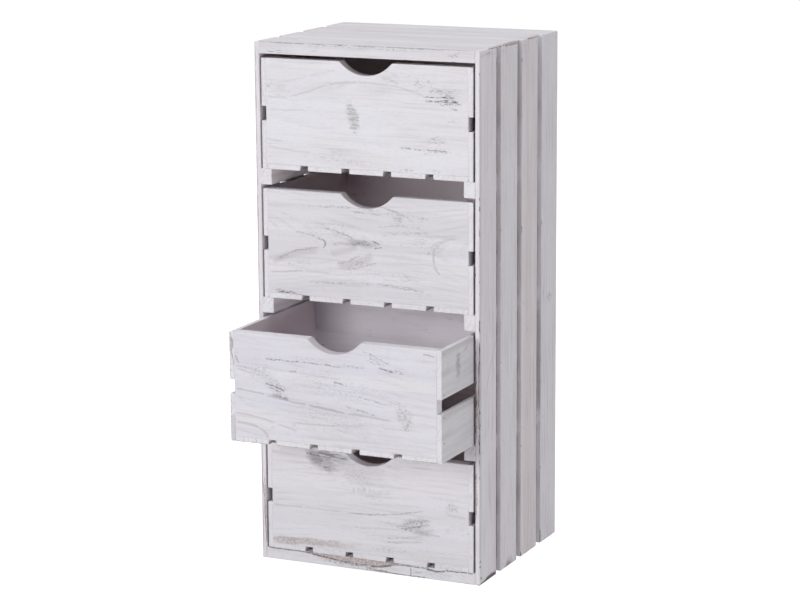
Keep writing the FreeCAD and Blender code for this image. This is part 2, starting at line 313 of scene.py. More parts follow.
# Streaks along the grain: length and width in metres, and how fine their detail goes.
SLOW_WANDER = (0.22, 0.07, 1.0)
QUICK_WANDER = (0.05, 0.02, 1.0)
CLOUDS = (0.12, 0.05)
FIBRES = (0.045, 0.0013, 3.0)
BRUSH_STROKES = (0.10, 0.004)
RAGGED_EDGE = (0.014, 0.004, 3.0)
MARK_OUTLINE = (0.02, 0.006)
SHORT_FLECKS = (0.0045, 0.0011)
LONG_FLECKS = (0.018, 0.0026)

# Streaks that set in between two levels of their noise.
TINT_BANDS = ((0.6, 0.022), (0.38, 0.62))
CHALK = ((0.007, 0.0022), (0.45, 0.75))
RING_PATCHES = ((0.08, 0.03), (0.40, 0.62))
SPECKS = ((0.004, 0.003, 3.0), (0.4, 0.56))
RUBS = ((0.05, 0.02), (0.60, 0.74))
RUB_FLECKS = ((0.012, 0.0014), (0.52, 0.66))

# Levels between which an effect sets in. Noise keeps mostly between 0.3 and 0.7.
CLOUD_LEVELS = (0.35, 0.65)
THIN_CLOUDS = (0.3, 0.7)
THIN_LEVELS = (0.45, 0.75)
TICK_LEVELS = (0.38, 0.58)
FIBRE_LEVELS = (0.54, 0.75)
BARE_FIBRE_LEVELS = (0.42, 0.6)
LATE_WOOD = (0.45, 0.95)  # in shares of a year's ring
YEAR_END = (1.0, 0.96)
THROUGH_FLECKS = (0.69, 0.79)
RIM_LEVELS = (0.50, 0.55)
CORE_LEVELS = (0.60, 0.66)

TINT_BAND_REACH = (0.3, 1.2)  # the tint between its bands and in them
TICK_REACH = (0.35, 1.0)  # the rings between the fibres' ticks and in them
QUICK_SHARE = 0.25  # of the slow wander
LINE_TAPER = 0.12  # share of a drawn line's length at each end
LINE_CORE = 0.25  # share of its width where it is full
BROKEN_EASE = 0.1

# A rubbed patch: what softness adds, and what a hard one has.
PATCH_ROUGHNESS = (0.9, 0.5)
PATCH_OUTER = (0.15, 1.0)
PATCH_INNER = (-0.80, 0.95)
PATCH_MIDDLE_FLECKS = 0.15

PLANK_SHIFT = 3.71  # metres along the log to the next plank's grain
LINE_WOBBLE = 4 * MM


def make_board_place():
    """Where a point lies on its board: along the grain, across it and through the thickness."""
    tree, way_in, way_out = new_group(
        "board_place", {"Vector": "Centre, Along, Across", "Float": "Pitch"},
        {"Vector": "Place, Grain"})
    at = step(tree, "ShaderNodeTexCoord", {}, "Object")
    from_centre = vectors(tree, "SUBTRACT", at, way_in["Centre"])
    through = vectors(tree, "CROSS_PRODUCT", way_in["Along"], way_in["Across"])
    along = vectors(tree, "DOT_PRODUCT", from_centre, way_in["Along"])
    across = vectors(tree, "DOT_PRODUCT", from_centre, way_in["Across"])
    depth = vectors(tree, "DOT_PRODUCT", from_centre, through)
    plank = maths(tree, "ROUND", maths(tree, "DIVIDE", across, way_in["Pitch"]))
    across_plank = minus(tree, across, times(tree, plank, way_in["Pitch"]))
    feed(way_out["Place"], join(tree, along, across_plank, depth))
    shifted = maths(tree, "MULTIPLY_ADD", plank, PLANK_SHIFT, along)
    feed(way_out["Grain"], join(tree, shifted, across_plank, depth))
    return tree


def streaks_of(tree, way_in, size):
    """Streaks on the board's own grain."""
    return streaks(tree, way_in["Grain"], way_in["Seed"], *size)


def patches_of(tree, way_in, size, levels):
    return rise(tree, streaks_of(tree, way_in, size), *levels)


def make_growth_rings():
    """The growth rings where the board cuts them: 1 at the dark end of each year's growth."""
    tree, way_in, way_out = new_group(
        "growth_rings",
        {"Vector": "Grain, Pith", "Float": "Slope, Sweep, Ring Width, Wander, Seed"},
        {"Float": "Lines"})
    slow = minus(tree, streaks_of(tree, way_in, SLOW_WANDER), NOISE_MIDDLE)
    quick = minus(tree, streaks_of(tree, way_in, QUICK_WANDER), NOISE_MIDDLE)
    wander = maths(tree, "MULTIPLY_ADD", quick, QUICK_SHARE, slow)
    drift = times(tree, wander, way_in["Wander"])
    along, across, depth = split(tree, vectors(tree, "SUBTRACT", way_in["Grain"], way_in["Pith"]))
    across = plus(tree, maths(tree, "MULTIPLY_ADD", along, way_in["Slope"], across), drift)
    depth = minus(tree, depth, times(tree, along, along, way_in["Sweep"]))
    radius = maths(tree, "SQRT", plus(tree, times(tree, across, across), times(tree, depth, depth)))
    year = maths(tree, "FRACT", maths(tree, "DIVIDE", radius, way_in["Ring Width"]))
    late_wood = times(tree, rise(tree, year, *LATE_WOOD), rise(tree, year, *YEAR_END))
    feed(way_out["Lines"], late_wood)
    return tree


def make_edge_distance():
    """How far a point is from the board's nearest edge, or from the rim of an arched cut-out."""
    tree, way_in, way_out = new_group(
        "edge_distance", {"Vector": "Place, Half, Arch Centre", "Float": "Arch Radius"},
        {"Float": "Distance, Arch"})
    inward = vectors(tree, "SUBTRACT", way_in["Half"], vectors(tree, "ABSOLUTE", way_in["Place"]))
    x, y, z = split(tree, inward)
    nearer, further = maths(tree, "MINIMUM", x, y), strongest(tree, x, y)
    middle = strongest(tree, nearer, maths(tree, "MINIMUM", further, z))
    from_arch = vectors(tree, "SUBTRACT", way_in["Place"], way_in["Arch Centre"])
    from_arch = vectors(tree, "MULTIPLY", from_arch, (1, 1, 0))
    from_rim = minus(tree, vectors(tree, "LENGTH", from_arch), way_in["Arch Radius"])
    off_arch = maths(tree, "ABSOLUTE", from_rim)
    rim = strongest(tree, off_arch, z)
    feed(way_out["Distance"], maths(tree, "MINIMUM", middle, rim))
    feed(way_out["Arch"], off_arch)
    return tree


def make_rubbed_patch():
    """A patch rubbed off along the fibres: a veil all over, and flecks where it went through."""
    tree, way_in, way_out = new_group(
        "rubbed_patch",
        {
            "Vector": "Place, Centre, Half",
            "Float": "Lean, Ragged, Flecks, Long Flecks, Face, Long, Veil, Dense, Soft, Amount",
        },
        {"Float": "Mask"},
    )
    from_centre = vectors(tree, "SUBTRACT", way_in["Place"], way_in["Centre"])
    share = vectors(tree, "DIVIDE", turned(tree, from_centre, way_in["Lean"]), way_in["Half"])
    reach = vectors(tree, "LENGTH", vectors(tree, "MULTIPLY", share, (1, 1, 0)))
    rough = maths(tree, "MULTIPLY_ADD", way_in["Soft"], *PATCH_ROUGHNESS)
    reach = plus(tree, reach, times(tree, minus(tree, way_in["Ragged"], NOISE_MIDDLE), rough))
    outer = maths(tree, "MULTIPLY_ADD", way_in["Soft"], *PATCH_OUTER)
    inner = maths(tree, "MULTIPLY_ADD", way_in["Soft"], *PATCH_INNER)
    inside = rise(tree, reach, outer, inner)
    longer = times(tree, minus(tree, way_in["Long Flecks"], way_in["Flecks"]), way_in["Long"])
    flecks = plus(tree, way_in["Flecks"], longer)
    level = maths(tree, "MULTIPLY_ADD", inside, PATCH_MIDDLE_FLECKS, flecks)
    through = rise(tree, plus(tree, level, way_in["Dense"]), *THROUGH_FLECKS)
    cover = maths(tree, "MULTIPLY_ADD", minus(tree, 1.0, through), way_in["Veil"], through)
    feed(way_out["Mask"], times(tree, cover, inside, way_in["Face"], way_in["Amount"]))
    return tree


def make_drawn_line():
    """A thin line on the wood, straight or bowed, broken up where the fibres are whole.

    Bow is four times how far its middle stands off the straight run."""
    tree, way_in, way_out = new_group(
        "drawn_line",
        {
            "Vector": "Place, Start, Run, Side",
            "Float": "Length, Bow, Width, Ragged, Flecks, Face, Broken, Amount",
        },
        {"Float": "Mask"},
    )
    from_start = vectors(tree, "SUBTRACT", way_in["Place"], way_in["Start"])
    along = vectors(tree, "DOT_PRODUCT", from_start, way_in["Run"])
    across = vectors(tree, "DOT_PRODUCT", from_start, way_in["Side"])
    share = maths(tree, "DIVIDE", along, way_in["Length"])
    bow = times(tree, share, minus(tree, 1.0, share), way_in["Bow"])
    wobble = times(tree, minus(tree, way_in["Ragged"], NOISE_MIDDLE), LINE_WOBBLE)
    off = maths(tree, "ABSOLUTE", plus(tree, minus(tree, across, bow), wobble))
    line = rise(tree, off, way_in["Width"], times(tree, way_in["Width"], LINE_CORE))
    ends = times(tree, rise(tree, share, 0.0, LINE_TAPER), rise(tree, share, 1.0, 1 - LINE_TAPER))
    gone, sound = minus(tree, way_in["Broken"], BROKEN_EASE), plus(tree, way_in["Broken"], BROKEN_EASE)
    whole = rise(tree, way_in["Flecks"], gone, sound)
    feed(way_out["Mask"], times(tree, line, ends, whole, way_in["Face"], way_in["Amount"]))
    return tree


def brushed_coat(tree, way_in, clouds, brushed):
    """The coat as it was brushed on: clouds, the board's tint, thin strokes and chalky ones."""
    coat = blend(tree, rise(tree, clouds, *CLOUD_LEVELS), PAINT_COOL, PAINT_WARM)
    bands = patches_of(tree, way_in, *TINT_BANDS)
    tinted = spread(tree, bands, *TINT_BAND_REACH)
    coat = blend(tree, times(tree, way_in["Tint Amount"], tinted), coat, way_in["Tint"])
    thin = times(tree, rise(tree, brushed, *THIN_LEVELS), rise(tree, clouds, *THIN_CLOUDS))
    coat = blend(tree, times(tree, thin, THIN_STROKES), coat, BRUSHED_THIN)
    chalk = patches_of(tree, way_in, *CHALK)
    return blend(tree, times(tree, chalk, CHALKY_STROKES), coat, BRUSHED_THIN)


def grain_in_coat(tree, way_in, fibre):
    """Where the wood shows through: growth rings, fibres and the board's own lines."""
    patchy = patches_of(tree, way_in, *RING_PATCHES)
    ticks = spread(tree, rise(tree, fibre, *TICK_LEVELS), *TICK_REACH)
    rings = times(tree, way_in["Rings"], patchy, ticks, way_in["Grain Amount"])
    fibres = times(tree, rise(tree, fibre, *FIBRE_LEVELS), way_in["Grain Amount"], FIBRE_LINES)
    return strongest(tree, rings, fibres, times(tree, way_in["Line"], DRAWN_LINES))


def rubbed_off(tree, way_in):
    """Where the paint is rubbed off: here and there on every board, and in the board's own marks."""
    rubs = patches_of(tree, way_in, *RUBS)
    flecks = patches_of(tree, way_in, *RUB_FLECKS)
    return strongest(tree, times(tree, rubs, flecks, way_in["Rub Amount"]), way_in["Rubbed"])


def worn_edge(tree, way_in, fibre):
    """The worn rim and its colour: bare wood, with a dark line where the paint ends."""
    ragged = streaks_of(tree, way_in, RAGGED_EDGE)
    lost = plus(tree, ragged, way_in["Edge Wear"])
    lost = minus(tree, lost, maths(tree, "DIVIDE", way_in["Edge"], way_in["Edge Width"]))
    rim = rise(tree, lost, *RIM_LEVELS)
    core = rise(tree, lost, *CORE_LEVELS)
    dark_fibres = rise(tree, fibre, *BARE_FIBRE_LEVELS)
    bare_wood = blend(tree, dark_fibres, BARE_WOOD, BARE_WOOD_DARK)
    return rim, blend(tree, core, EDGE_TONE, bare_wood)


def make_whitewash():
    """Whitewash on a board: thin over the grain, rubbed in places, worn through along the edges."""
    tree, way_in, way_out = new_group(
        "whitewash",
        {
            "Vector": "Grain",
            "Color": "Tint, Inside Tone",
            "Float": "Tint Amount, Rings, Grain Amount, Rub Amount, Edge, Edge Wear, Edge Width, "
                     "Inside, In Gap, Line, Rubbed, Bare, Seed",
        },
        {"Color": "Color", "Float": "Roughness, Height"},
    )
    clouds = streaks_of(tree, way_in, CLOUDS)
    fibre = streaks_of(tree, way_in, FIBRES)
    brushed = streaks_of(tree, way_in, BRUSH_STROKES)

    coat = brushed_coat(tree, way_in, clouds, brushed)
    coat = blend(tree, grain_in_coat(tree, way_in, fibre), coat, GRAIN_TONE)
    # Inner faces take their given tone, painted shade among them; edges in gaps and arch rims take
    # painted shade.
    coat = blend(tree, way_in["Inside"], coat, way_in["Inside Tone"])
    coat = blend(tree, way_in["In Gap"], coat, GAP_SHADE_TONE)
    specks = patches_of(tree, way_in, *SPECKS)
    bare_wood = blend(tree, times(tree, specks, WOOD_SPECKS), BARE_WOOD, BARE_WOOD_DARK)
    coat = blend(tree, way_in["Bare"], coat, bare_wood)
    rubbed = rubbed_off(tree, way_in)
    coat = blend(tree, rubbed, coat, RUBBED_TONE)
    rim, rim_colour = worn_edge(tree, way_in, fibre)
    coat = blend(tree, rim, coat, rim_colour)

    gone = strongest(tree, rubbed, rim)
    feed(way_out["Color"], coat)
    roughness = spread(tree, gone, PAINT_ROUGHNESS, WOOD_ROUGHNESS)
    feed(way_out["Roughness"], plus(tree, roughness, times(tree, fibre, FIBRE_ROUGHNESS)))
    relief = maths(tree, "MULTIPLY_ADD", way_in["Rings"], RING_RELIEF, fibre)
    feed(way_out["Height"], times(tree, plus(tree, relief, rim), PAINT_RELIEF))
    return tree


BOARD_PLACE = make_board_place()
GROWTH_RINGS = make_growth_rings()
EDGE_DISTANCE = make_edge_distance()
RUBBED_PATCH = make_rubbed_patch()
DRAWN_LINE = make_drawn_line()
WHITEWASH = make_whitewash()


# ---- Materials ----

# Marks on a board, in millimetres from its middle, along the grain (x) and across it (y).
# A Rub leans by some degrees: its veil thins the paint all over, dense adds flecks, long draws
# them out, soft blurs the outline. A Line's middle stands off its run by its bow, and the more
# broken it is, the fewer fibres carry it. A worn place adds to the wear of the edges.
Rub = namedtuple(
    "Rub", "x y half_x half_y lean veil dense amount long soft kind",
    defaults=(0, 0.0, 0.0, 1.0, 0.0, 1.0, "Rubbed"))
Line = namedtuple(
    "Line", "x y end_x end_y bow width broken amount kind",
    defaults=(0, 1.0, 0.3, 1.0, "Rubbed"))

Tint = namedtuple("Tint", "colour amount")
Inside = namedtuple("Inside", "amount tone low_tone", defaults=(None,))
Arch = namedtuple("Arch", "centre radius")
Rings = namedtuple(
    "Rings", "pith slope sweep width wander",
    defaults=((0, 0.05, -0.08), 0.02, 0.0, 0.007, 0.03))


def bare(x, y, half_x, half_y, lean=0, amount=1.0, soft=0.12):
    """A patch where the paint is gone down to the wood, with a clean outline."""
    return Rub(x, y, half_x, half_y, lean, 1.0, 0.0, amount, 0.0, soft, "Bare")


def worn(x, y, half_x, half_y, amount):
    """A place where the edges are worn further in."""
    return Rub(x, y, half_x, half_y, 0, 1.0, 0.0, amount, kind="Edge Wear")


def vein(x, y, end_x, end_y, bow, width, broken, amount):
    """A line of the grain that shows through the paint and isn't scraped into it."""
    return Line(x, y, end_x, end_y, bow, width, broken, amount, "Line")


def strokes(amount, *places):
    """Short scrapes along the fibres, each with its middle and half its length."""
    return [Line(x - half, y, x + half, y, 0, 2.3, 0.38, amount) for x, y, half in places]


NO_TINT = Tint(paint(226, 221, 224), 0.0)
NO_INSIDE = Inside(0.0, CARCASS_INSIDE_WOOD_AND_SHADE)
NO_ARCH = Arch((0, 0, 9), 1.0)

# How a board looks where nothing else is said.
USUAL_LOOKS = dict(
    rings=Rings(),
    tint=NO_TINT,
    tinted_ends=True,  # or the tint is on the outer face alone
    grain=0.4,
    rub=0.5,
    wear=-0.06,  # of the edges
    inside=NO_INSIDE,  # on the face that looks into the chest or drawer
    gap=0.0,  # painted shade on the edges that face the next plank, darker towards the inner face
    marks=(),  # on the outer face
    edge_marks=(),  # on the front edge
    end_marks=(),  # on the front end
    arch=NO_ARCH,
    rim_tone=0.0,  # painted shade on the arch's rim
    outline=0.0,  # how dark the lines along the edges are
    pitch=10.0,  # metres from plank to plank, where one piece holds several
    plank_half=None,  # half the width of each of them
    face=1,  # or -1, where the other broad face is the outer one
)
Looks = namedtuple("Looks", USUAL_LOOKS, defaults=USUAL_LOOKS.values())
Board = namedtuple("Board", "tree half place grain rings edge along across depth seed")

# How far in from a face or an edge an effect is gone, and how far in it is still full.
MARK_SKIN = (2 * MM, 1 * MM)
TINT_SKIN = (0.8 * MM, 0.3 * MM)
INSIDE_SKIN = (0.4 * MM, 0.1 * MM)
GAP_SKIN = (1 * MM, 0.3 * MM)
ARCH_RIM = (0.6 * MM, 0.2 * MM)
OUTLINE = (1.6 * MM, 0.4 * MM)

LOW_SHADE_HEIGHTS = (-22 * MM, -6 * MM)  # from the board's middle, where the painted low shade gives way
GAP_SHADE_START = 1.2  # in half thicknesses: just outside the outer face
EDGE_WIDTH = 6 * MM
BUMP_STRENGTH = 0.5
BUMP_DEPTH = 0.15 * MM
PAINT_SHEEN = 0.3


def skin(tree, depth, half, ends, side=1):
    """1 at the face that lies half a thickness off the middle, easing to 0 further in."""
    gone, full = ends
    return rise(tree, depth, side * (half - gone), side * (half - full))


def lay_out_board(tree, name, along, across, seed, looks):
    """Where each point lies on its board, on the growth rings and from the edges."""
    low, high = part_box(name)
    along, across = Vector(along), Vector(across)
    size = (high - low) / 2
    half = Vector([abs(size.dot(way)) for way in (along, across, along.cross(across))])
    half.y = looks.plank_half or half.y

    where = use(tree, BOARD_PLACE, {
        "Centre": (low + high) / 2, "Along": along, "Across": across, "Pitch": looks.pitch})
    place, grain = where["Place"], where["Grain"]
    rings = use(tree, GROWTH_RINGS, {
        "Grain": grain, "Pith": looks.rings.pith, "Slope": looks.rings.slope,
        "Sweep": looks.rings.sweep, "Ring Width": looks.rings.width,
        "Wander": looks.rings.wander, "Seed": seed,
    })["Lines"]
    edge = use(tree, EDGE_DISTANCE, {
        "Place": place, "Half": half,
        "Arch Centre": looks.arch.centre, "Arch Radius": looks.arch.radius,
    })
    on_length, on_width, depth = split(tree, place)
    depth = times(tree, depth, looks.face)
    return Board(tree, half, place, grain, rings, edge, on_length, on_width, depth, seed)


def marked_faces(board, fibres):
    """The faces that carry marks, each with where a point lies on it: outer face, edge and end."""
    tree, half = board.tree, board.half
    broad = {"Place": board.place, "Face": skin(tree, board.depth, half.z, MARK_SKIN)}
    narrow = {
        "Place": join(tree, board.along, board.depth, board.across),
        "Face": skin(tree, board.across, half.y, MARK_SKIN, -1),
    }
    end = {
        "Place": join(tree, board.across, board.depth, board.along),
        "Face": skin(tree, board.along, half.x, MARK_SKIN, -1),
    }
    return {**broad, **fibres}, {**narrow, **fibres}, {**end, **fibres}


def line_mask(tree, face, line):
    run = Vector((line.end_x - line.x, line.end_y - line.y, 0))
    way = run.normalized()
    return use(tree, DRAWN_LINE, {
        **face, "Start": (line.x * MM, line.y * MM, 0), "Run": way,
        "Side": (-way.y, way.x, 0), "Length": run.length * MM, "Bow": 4 * line.bow * MM,
        "Width": line.width * MM, "Broken": line.broken, "Amount": line.amount,
    })["Mask"]


def rub_mask(tree, face, rub, long_flecks):
    return use(tree, RUBBED_PATCH, {
        **face, "Centre": (rub.x * MM, rub.y * MM, 0), "Lean": math.radians(-rub.lean),
        "Half": (rub.half_x * MM, rub.half_y * MM, 1), "Veil": rub.veil,
        "Dense": rub.dense, "Amount": rub.amount, "Long Flecks": long_flecks,
        "Long": rub.long, "Soft": rub.soft,
    })["Mask"]


def put_on_marks(board, looks):
    """The masks that a board's marks add up to, by kind."""
    tree = board.tree
    masks = {"Rubbed": 0.0, "Bare": 0.0, "Line": 0.0, "Edge Wear": looks.wear}
    if not (looks.marks or looks.edge_marks or looks.end_marks):
        return masks
    fibres = {
        "Ragged": streaks(tree, board.grain, board.seed, *MARK_OUTLINE),
        "Flecks": streaks(tree, board.grain, board.seed, *SHORT_FLECKS),
    }
    long_flecks = streaks(tree, board.grain, board.seed, *LONG_FLECKS)
    faces = marked_faces(board, fibres)
    for face, marks in zip(faces, (looks.marks, looks.edge_marks, looks.end_marks)):
        for mark in marks:
            so_far = masks[mark.kind]
            if isinstance(mark, Line):
                so_far = strongest(tree, so_far, line_mask(tree, face, mark))
            elif mark.kind == "Edge Wear":
                so_far = plus(tree, so_far, rub_mask(tree, {**face, "Face": 1.0}, mark, 0.0))
            else:
                so_far = strongest(tree, so_far, rub_mask(tree, face, mark, long_flecks))
            masks[mark.kind] = so_far
    return masks


def tint_cover(board, looks):
    """How much of the tint shows: all over, or on the outer face alone."""
    if looks.tinted_ends:
        return looks.tint.amount
    outer = skin(board.tree, board.depth, board.half.z, TINT_SKIN)
    return times(board.tree, outer, looks.tint.amount)


def inside_tone(board, inside):
    """The tone of the inner face, which may give way to painted shade low on the board."""
    if not inside.low_tone:
        return inside.tone
    high_up = rise(board.tree, board.across, *LOW_SHADE_HEIGHTS)
    return blend(board.tree, high_up, inside.low_tone, inside.tone)


def gap_shade_cover(board, looks):
    """The painted shade on the rim of a board's arch, or on the edges that face the next plank."""
    tree, half = board.tree, board.half
    cover = 0.0
    if looks.arch is not NO_ARCH:
        cover = times(tree, rise(tree, board.edge["Arch"], *ARCH_RIM), looks.rim_tone)
    if looks.gap:
        on_edge = skin(tree, maths(tree, "ABSOLUTE", board.across), half.y, GAP_SKIN)
        deeper = rise(tree, board.depth, half.z * GAP_SHADE_START, -half.z)
        cover = times(tree, on_edge, deeper, looks.gap)
    return cover


def whitewashed_board(name, along, across, seed, looks):
    """The finish of one board. Along is the way its grain runs, across the way of its width."""
    material, tree = new_material(name)
    board = lay_out_board(tree, name, along, across, seed, looks)
    masks = put_on_marks(board, looks)
    tint_amount = tint_cover(board, looks)
    tone = inside_tone(board, looks.inside)
    inner_face = skin(tree, board.depth, board.half.z, INSIDE_SKIN, -1)
    hidden = times(tree, inner_face, looks.inside.amount)
    gap_shade_mask = gap_shade_cover(board, looks)
    if looks.outline:
        outline = times(tree, rise(tree, board.edge["Distance"], *OUTLINE), looks.outline)
        masks["Line"] = strongest(tree, masks["Line"], outline)

    finish = use(tree, WHITEWASH, {
        "Grain": board.grain, "Rings": board.rings, "Edge": board.edge["Distance"],
        "Tint": looks.tint.colour, "Tint Amount": tint_amount, "Grain Amount": looks.grain,
        "Rub Amount": looks.rub, "Edge Width": EDGE_WIDTH, "Inside": hidden,
        "Inside Tone": tone, "In Gap": gap_shade_mask, "Seed": seed, **masks,
    })
    bump = step(tree, "ShaderNodeBump", {
        "Strength": BUMP_STRENGTH, "Distance": BUMP_DEPTH, "Height": finish["Height"]})
    show_surface(tree, step(tree, "ShaderNodeBsdfPrincipled", {
        "Base Color": finish["Color"], "Roughness": finish["Roughness"], "Normal": bump,
        "Specular IOR Level": PAINT_SHEEN,
    }))
    return material


NAIL_SPOTS = 900  # to the metre


def nail_steel(name, steel, spotted):
    """Wire gone dull, with rust and paint caught on the head."""
    material, tree = new_material(name)
    at = step(tree, "ShaderNodeTexCoord", {}, "Object")
    spots = rise(tree, noise(tree, at, NAIL_SPOTS, 3.0), 0.4, 0.62)
    show_surface(tree, step(tree, "ShaderNodeBsdfPrincipled", {
        "Base Color": blend(tree, spots, steel, spotted),
        "Roughness": spread(tree, spots, 0.45, 0.8),
        "Metallic": spread(tree, spots, 0.3, 0.0),
    }))
    return material


def finish_piece(name, material):
    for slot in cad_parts[name].material_slots:
        slot.link = "OBJECT"
        slot.material = material


# ---- The boards ----

X, Y, Z = (1, 0, 0), (0, 1, 0), (0, 0, 1)


def finish_board(name, along, across, seed, **looks):
    finish_piece(name, whitewashed_board(name, along, across, seed, Looks(**looks)))


SIDE_TINTS = {
    1: Tint(paint(229, 221, 227), 0.6),
    2: Tint(paint(227, 219, 224), 0.6),
    3: Tint(paint(223, 213, 216), 0.8),
    4: Tint(paint(226, 220, 227), 0.6),
}
# Painted shade in the gaps between the side planks, on the planks' edges there.
SIDE_GAP_SHADES = {1: 0.0, 2: 0.34, 3: 0.44, 4: 0.12}
# The runners' mauve tone on their faces toward the drawers; the middle pair's darker tone is painted
# shade above the open drawer.
RUNNER_TONES_AND_SHADE = {1: paint(206, 188, 192), 2: paint(178, 160, 161), 3: paint(206, 188, 192)}
TOP_TINT = Tint(paint(217, 214, 219), 0.8)
BACK_TINT = Tint(paint(206, 192, 186), 0.5)
# The top's and back's inner faces take the brown with its painted shade.
WALL_INSIDE = Inside(0.9, CARCASS_INSIDE_WOOD_AND_SHADE)
SIDE_SEED_STEP = 1.7

# Heights over the chest's middle (x), places back from the plank's middle (y).
SIDE_MARKS = {
    "right_side_plank_1": (
        worn(-400, 6, 14, 44, 0.36),
        worn(400, 24, 10, 34, 0.36),
        worn(-130, -31.5, 100, 3, 0.3),
        worn(-60, -31.5, 60, 3, 0.14),
        worn(0, -31.5, 420, 3, 0.09),
        Rub(393, 0, 6, 30, 0, 0, 0.08, 0.5),
        Rub(-397, 10, 5, 26, 0, 1, 0.1, 0.9, 0, 0.4),
        Rub(-399, 0, 3.2, 34, 0, 1, 0.1, 0.95, 0, 0.3),
        Rub(-135, -29.5, 2, 2.2, 0, 1, 0.3, 0.9),
        Rub(-154, -29.5, 2, 2.2, 0, 1, 0.3, 0.9),
        Rub(-363, -29.5, 2.2, 2.2, 0, 1, 0.3, 0.95),
        Rub(-371.5, -29.5, 2, 2.2, 0, 1, 0.3, 0.9),
        Rub(-389, -27, 2.6, 2.4, 0, 1, 0.3, 0.95),
        vein(-34, 31, -120, -10, 4, 2.4, 0.3, 0.3),
        vein(-440, -31, 440, -31, 0, 8, 0, 0.4),
    ),
    "right_side_plank_2": (
        worn(400, 10, 16, 50, 0.72),
        worn(-396, -2, 16, 16, 0.5),
        bare(-394, 0, 10, 16, amount=0.6, soft=0.8),
        bare(-395, 12, 4, 5, amount=0.5, soft=0.8),
        worn(-398, 20, 10, 24, 0.35),
        Rub(-396, -2, 6, 9, 0, 0.35, 0.08, 0.6, 0, 0.8),
    ),
    "right_side_plank_3": (
        worn(-400, 0, 8, 60, 0.3),
        worn(400, 10, 10, 30, 0.35),
        vein(-46, -14, -41, -4, 1, 1.6, 0.1, 0.35),
    ),
    "right_side_plank_4": (
        worn(-400, 0, 8, 60, 0.32),
        worn(-388, -31.5, 14, 3, 0.14),
        Rub(-10, 2, 12, 14, 0, 0, 0.05, 0.6),
    ),
}
# On the planks' front edges: heights over the middle (x), places out through the thickness (y).
FRONT_EDGE_MARKS = {
    "left_side_plank_1": (
        bare(-322, -3, 56, 3, 1.5, 0.65, 0.4),
        Line(-378, -3.4, -304, -0.9, 0.3, 0.6, 0.1, 0.9),
        Line(-304, -0.9, -268, 3.4, -0.5, 0.6, 0.2, 0.8),
        vein(-440, 3.6, 440, 3.6, 0, 2.5, 0, 0.9),
    ),
    "right_side_plank_1": (
        bare(-262, -3.75, 48, 4.6, 0, 0.9, 0.4),
        bare(-138, -3.75, 44, 5.2, 0, 0.95, 0.4),
        Line(-176, -3.4, -100, -3.4, 0, 1.3, 0.34, 0.5),
    ),
}


def finish_side_walls():
    for side, seed, face in (("left", 3.0, 1), ("right", 11.0, -1)):
        for number in range(1, 5):
            name = f"{side}_side_plank_{number}"
            # Inner faces take the brown with painted shade, and the right front plank takes painted shade
            # of the gap beside the drawers.
            tone = CARCASS_INSIDE_WOOD_AND_SHADE
            if number == 1:
                tone = FRONT_GAP_LIT if side == "left" else FRONT_GAP_SHADE
            finish_board(
                name, Z, Y, seed + number * SIDE_SEED_STEP, grain=0.3, rub=0.12, face=face,
                tint=SIDE_TINTS[number], gap=SIDE_GAP_SHADES[number], inside=Inside(0.9, tone),
                marks=SIDE_MARKS.get(name, ()), edge_marks=FRONT_EDGE_MARKS.get(name, ()))


TOP_MARKS = (
    worn(60, -152.5, 260, 30, 0.06),
    Line(-172, -151.4, -20, -151.4, 0, 1.7, 0.4, 0.55),
    Line(-30, -151.4, 174, -151.4, 0, 1.7, 0.42, 0.6),
    Line(-38, -18, 44, -17, 0, 1.2, 0.4, 0.7),
    Line(40, -17, 126, -30, 0, 1, 0.42, 0.5),
    vein(-127, 25, -57, 36, 0, 2.5, 0.3, 0.35),
)
TOP_FRONT_MARKS = (
    Rub(144, 1, 18, 5, 0, 0, 0.05, 0.6),
    Rub(-60, 6, 90, 3, 0, 0, 0.03, 0.4),
    Rub(60, 5, 90, 4, 0, 0, 0.03, 0.35),
)
BOTTOM_MARKS = (
    bare(-28, 10.5, 84, 12, -1, 0.9, 0.14),
    Line(-176, 8.6, -124, 8.5, 0, 1.5, 0.34, 0.75),
    Line(-130, 8.8, -92, 8, 0, 1.5, 0.34, 0.75),
    Line(-112, 9.4, -50, 1.6, -0.8, 2, 0.44, 0.85),
    Line(-52, 1, 0, -0.8, -0.6, 2.8, 0.48, 0.8),
    Line(-34, -2, 4, -2.8, 0, 2.2, 0.52, 0.7),
    Line(0, -0.8, 40, 6, -2, 2.4, 0.42, 0.9),
    Line(36, 7.4, 100, 7.2, 0.3, 2.2, 0.47, 0.8),
    Line(92, 7, 128, 7.2, -2.4, 2.4, 0.42, 0.95),
    Line(124, 7.6, 174, 8.2, 0, 1.8, 0.42, 0.9),
    Rub(8, -5, 20, 3.5, -8, 0.2, 0.1, 0.6),
    Line(-4.7, -2, -4.7, -9, 0, 0.9, 0.2, 0.7),
    Line(-18, -2, -18, -8, 0, 0.8, 0.3, 0.45),
    Line(20, 0, 20, -7, 0, 0.8, 0.3, 0.35),
    Line(69.4, 5.4, 69.4, -9, 0, 0.9, 0.2, 0.8),
    Line(4, -6.6, 100, -8.4, 0.3, 1.8, 0.44, 0.8),
    Rub(110, 0, 50, 7, 0, 0, 0.05, 0.3),
    Rub(-60, -2, 60, 5, -4, 0, 0.07, 0.4),
)


